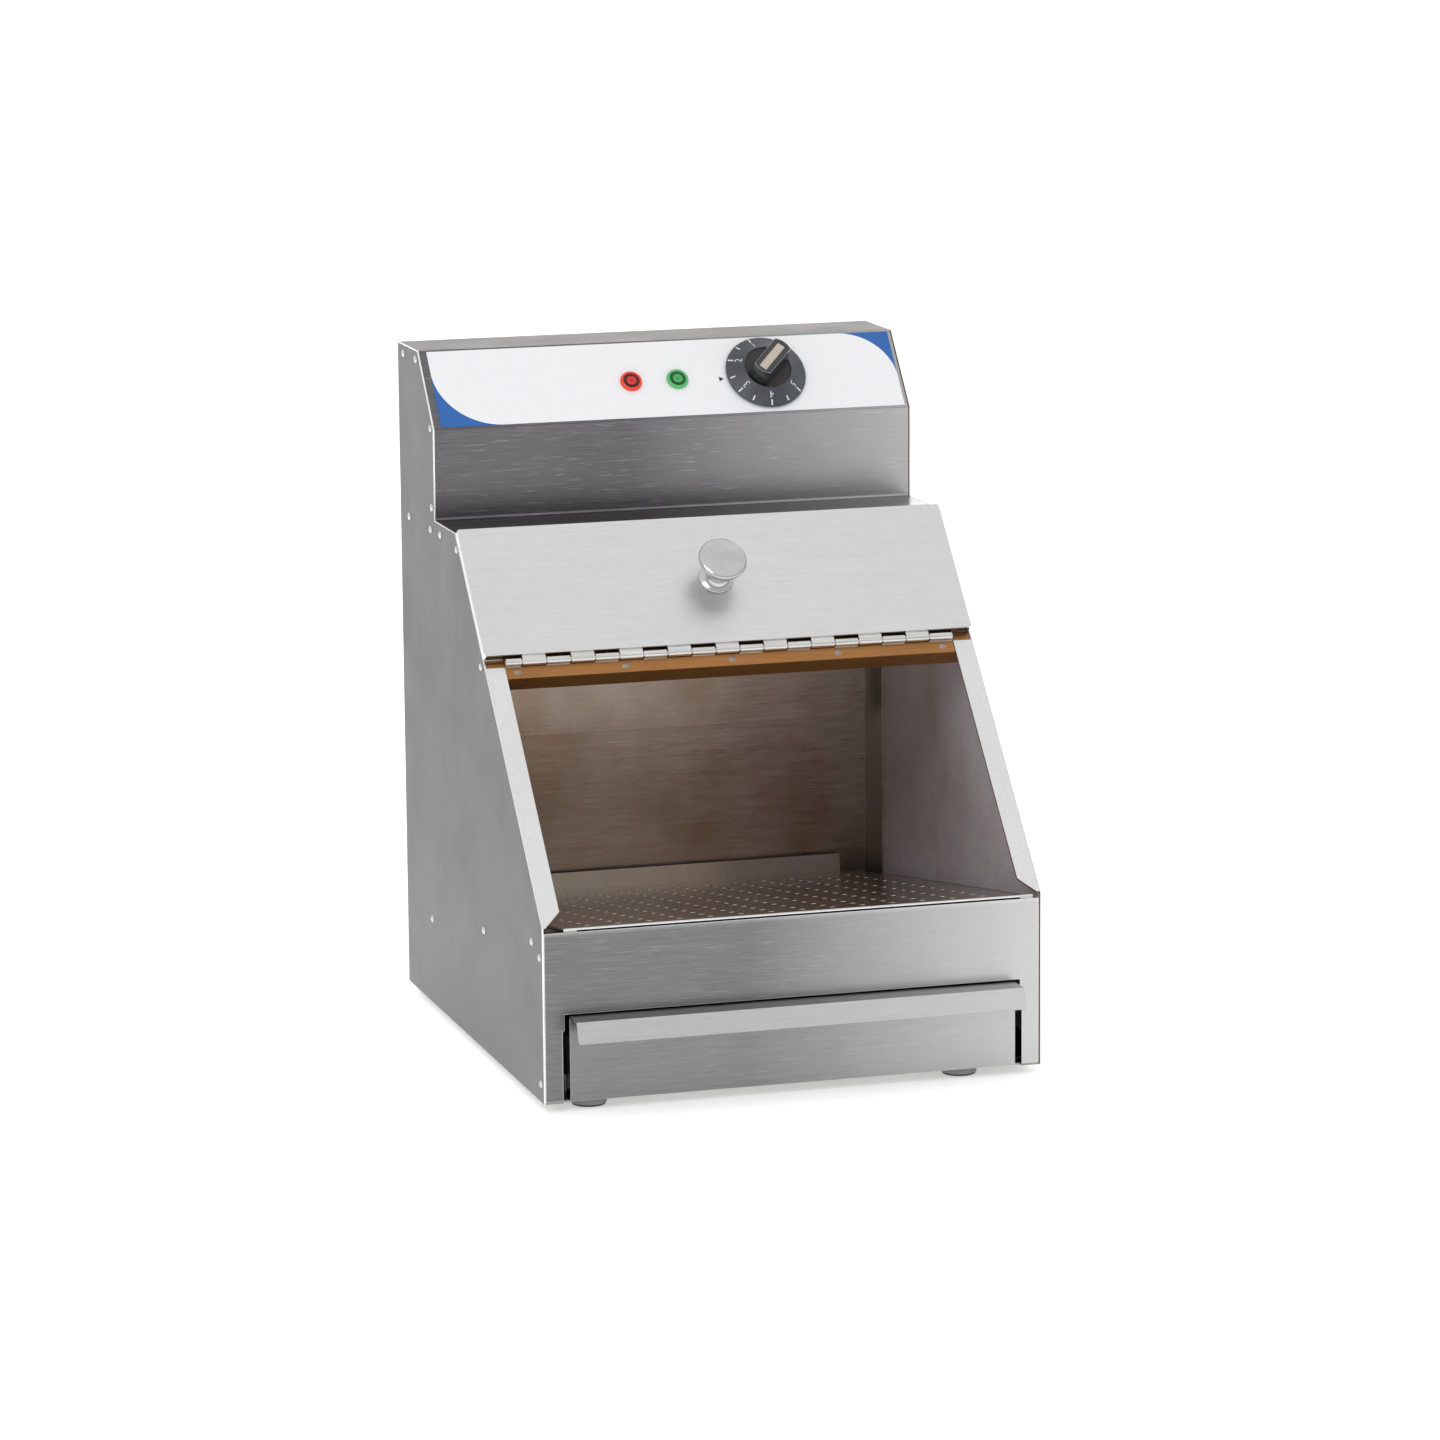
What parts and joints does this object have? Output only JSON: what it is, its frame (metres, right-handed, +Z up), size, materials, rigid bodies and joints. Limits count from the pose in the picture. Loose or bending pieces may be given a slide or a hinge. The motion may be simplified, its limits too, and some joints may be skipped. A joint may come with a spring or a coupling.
{
  "type": "french fry dump station",
  "caption": "Countertop french fry dump station: sloped open bin over a perforated tray and crumb drawer, hinged access lid with knob, dial and lamps on the hood.",
  "frame": {"origin": "middle of the footprint on the worktop, under the feet", "axes": "+X to the right seen from the front, front faces -Y, +Z up"},
  "size_m": [0.3322, 0.3965, 0.4466],
  "materials": {
    "housing_steel": "brushed stainless sheet",
    "inner_steel": "plain stainless sheet inside the bin",
    "tray_steel": "punched stainless sheet",
    "lid_steel": "fine brushed stainless lid",
    "drawer_steel": "brushed stainless drawer",
    "hinge_steel": "bright hinge steel",
    "bright_metal": "bright rivets and screws",
    "knob_metal": "polished chrome knob",
    "foot_grey": "grey foot with a dark sole",
    "label_film": "printed white label",
    "red_lens": "red lamp lens",
    "green_lens": "green lamp lens",
    "lamp_plastic": "lamp body",
    "dial_plastic": "dark satin dial",
    "dial_insert": "pale insert",
    "control_metal": "thermostat case",
    "copper_tube": "capillary tube and bulb",
    "element_metal": "heat-darkened sheath",
    "terminal_plastic": "terminal block",
    "gland_plastic": "black cable gland"
  },
  "bodies": {
    "housing": {"left_side_panel": "housing_steel", "right_side_panel": "housing_steel", "hood_cover": "housing_steel", "back_panel": "housing_steel", "rear_baffle": "inner_steel", "front_panel": "housing_steel", "base_plate": "housing_steel", "compartment_floor": "inner_steel", "hinge_rail": "inner_steel", "hinge_fixed_leaf": "hinge_steel", "hinge_pin": "hinge_steel", "hinge_rivets": "bright_metal", "left_tray_rail": "inner_steel", "right_tray_rail": "inner_steel", "left_drawer_runner": "inner_steel", "right_drawer_runner": "inner_steel", "left_side_rivets": "bright_metal", "right_side_rivets": "bright_metal", "feet": "foot_grey", "foot_screws": "bright_metal", "control_label": "label_film", "red_lamp_lens": "red_lens", "green_lamp_lens": "green_lens", "lamp_barrels": "lamp_plastic", "thermostat_case": "control_metal", "capillary_bulb": "copper_tube", "bulb_clip": "inner_steel", "heating_element": "element_metal", "element_brackets": "inner_steel", "terminal_block": "terminal_plastic", "cable_gland": "gland_plastic", "gland_nut": "gland_plastic"},
    "lid": {"lid_panel": "lid_steel", "hinge_lid_leaf": "hinge_steel", "lid_knob": "knob_metal", "knob_screw": "bright_metal"},
    "drawer": {"drawer_pan": "drawer_steel", "drawer_front": "drawer_steel"},
    "tray": {"perforated_tray": "tray_steel"},
    "dial": {"dial_knob": "dial_plastic", "dial_insert": "dial_insert", "dial_shaft": "bright_metal"}
  },
  "joints": [
    {"name": "lid_hinge", "type": "hinge", "parent": "housing", "child": "lid", "pos_m": [0, -0.0426, 0.26386], "axis": [1, 0, 0], "range_deg": [0, 135]},
    {"name": "drawer_slide", "type": "slide", "parent": "housing", "child": "drawer", "axis": [0, -1, 0], "range_m": [0, 0.25]},
    {"name": "tray_lift", "type": "slide", "parent": "housing", "child": "tray", "axis": [0, 0, 1], "range_m": [0, 0.09]},
    {"name": "dial_turn", "type": "hinge", "parent": "housing", "child": "dial", "pos_m": [0.0696, 0.10351, 0.42302], "axis": [0, -0.7622, 0.6473], "range_deg": [-135, 100]}
  ]
}
